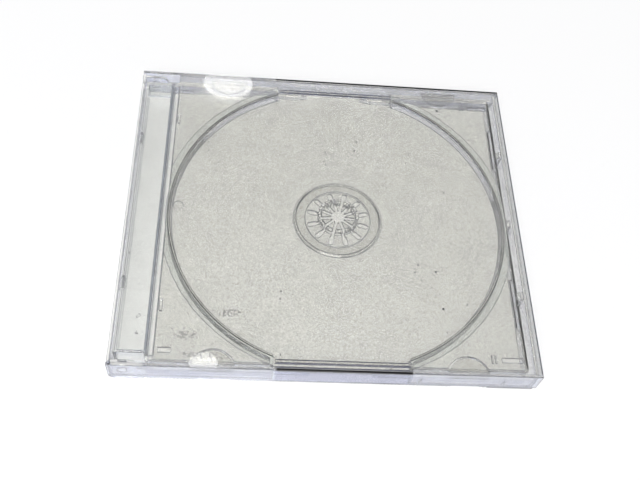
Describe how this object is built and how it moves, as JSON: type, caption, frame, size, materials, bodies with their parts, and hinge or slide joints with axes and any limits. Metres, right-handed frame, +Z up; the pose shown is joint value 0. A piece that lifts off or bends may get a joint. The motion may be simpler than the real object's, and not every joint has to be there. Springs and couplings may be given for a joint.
{
  "type": "disc jewel case",
  "caption": "Clear hinged storage case for one disc: ribbed base, lid with half-moon tabs, and a snap-in tray with a toothed hub.",
  "frame": {"origin": "on the table under the middle of the closed case", "axes": "+X from the hinged spine towards the opening edge, +Y along the spine, +Z up out of the lid"},
  "size_m": [0.142, 0.125, 0.01],
  "materials": {
    "base_clear": "polished crystal clear polystyrene",
    "tray_clear": "polished crystal clear polystyrene, lightly dusty",
    "lid_clear": "polished crystal clear polystyrene, lightly scratched"
  },
  "bodies": {
    "base": {"base": "base_clear", "tray": "tray_clear"},
    "lid": {"lid": "lid_clear"}
  },
  "joints": [
    {"name": "lid_hinge", "type": "hinge", "parent": "base", "child": "lid", "pos_m": [-0.0663, 0, 0.005], "axis": [0, -1, 0], "range_deg": [0, 180]}
  ]
}
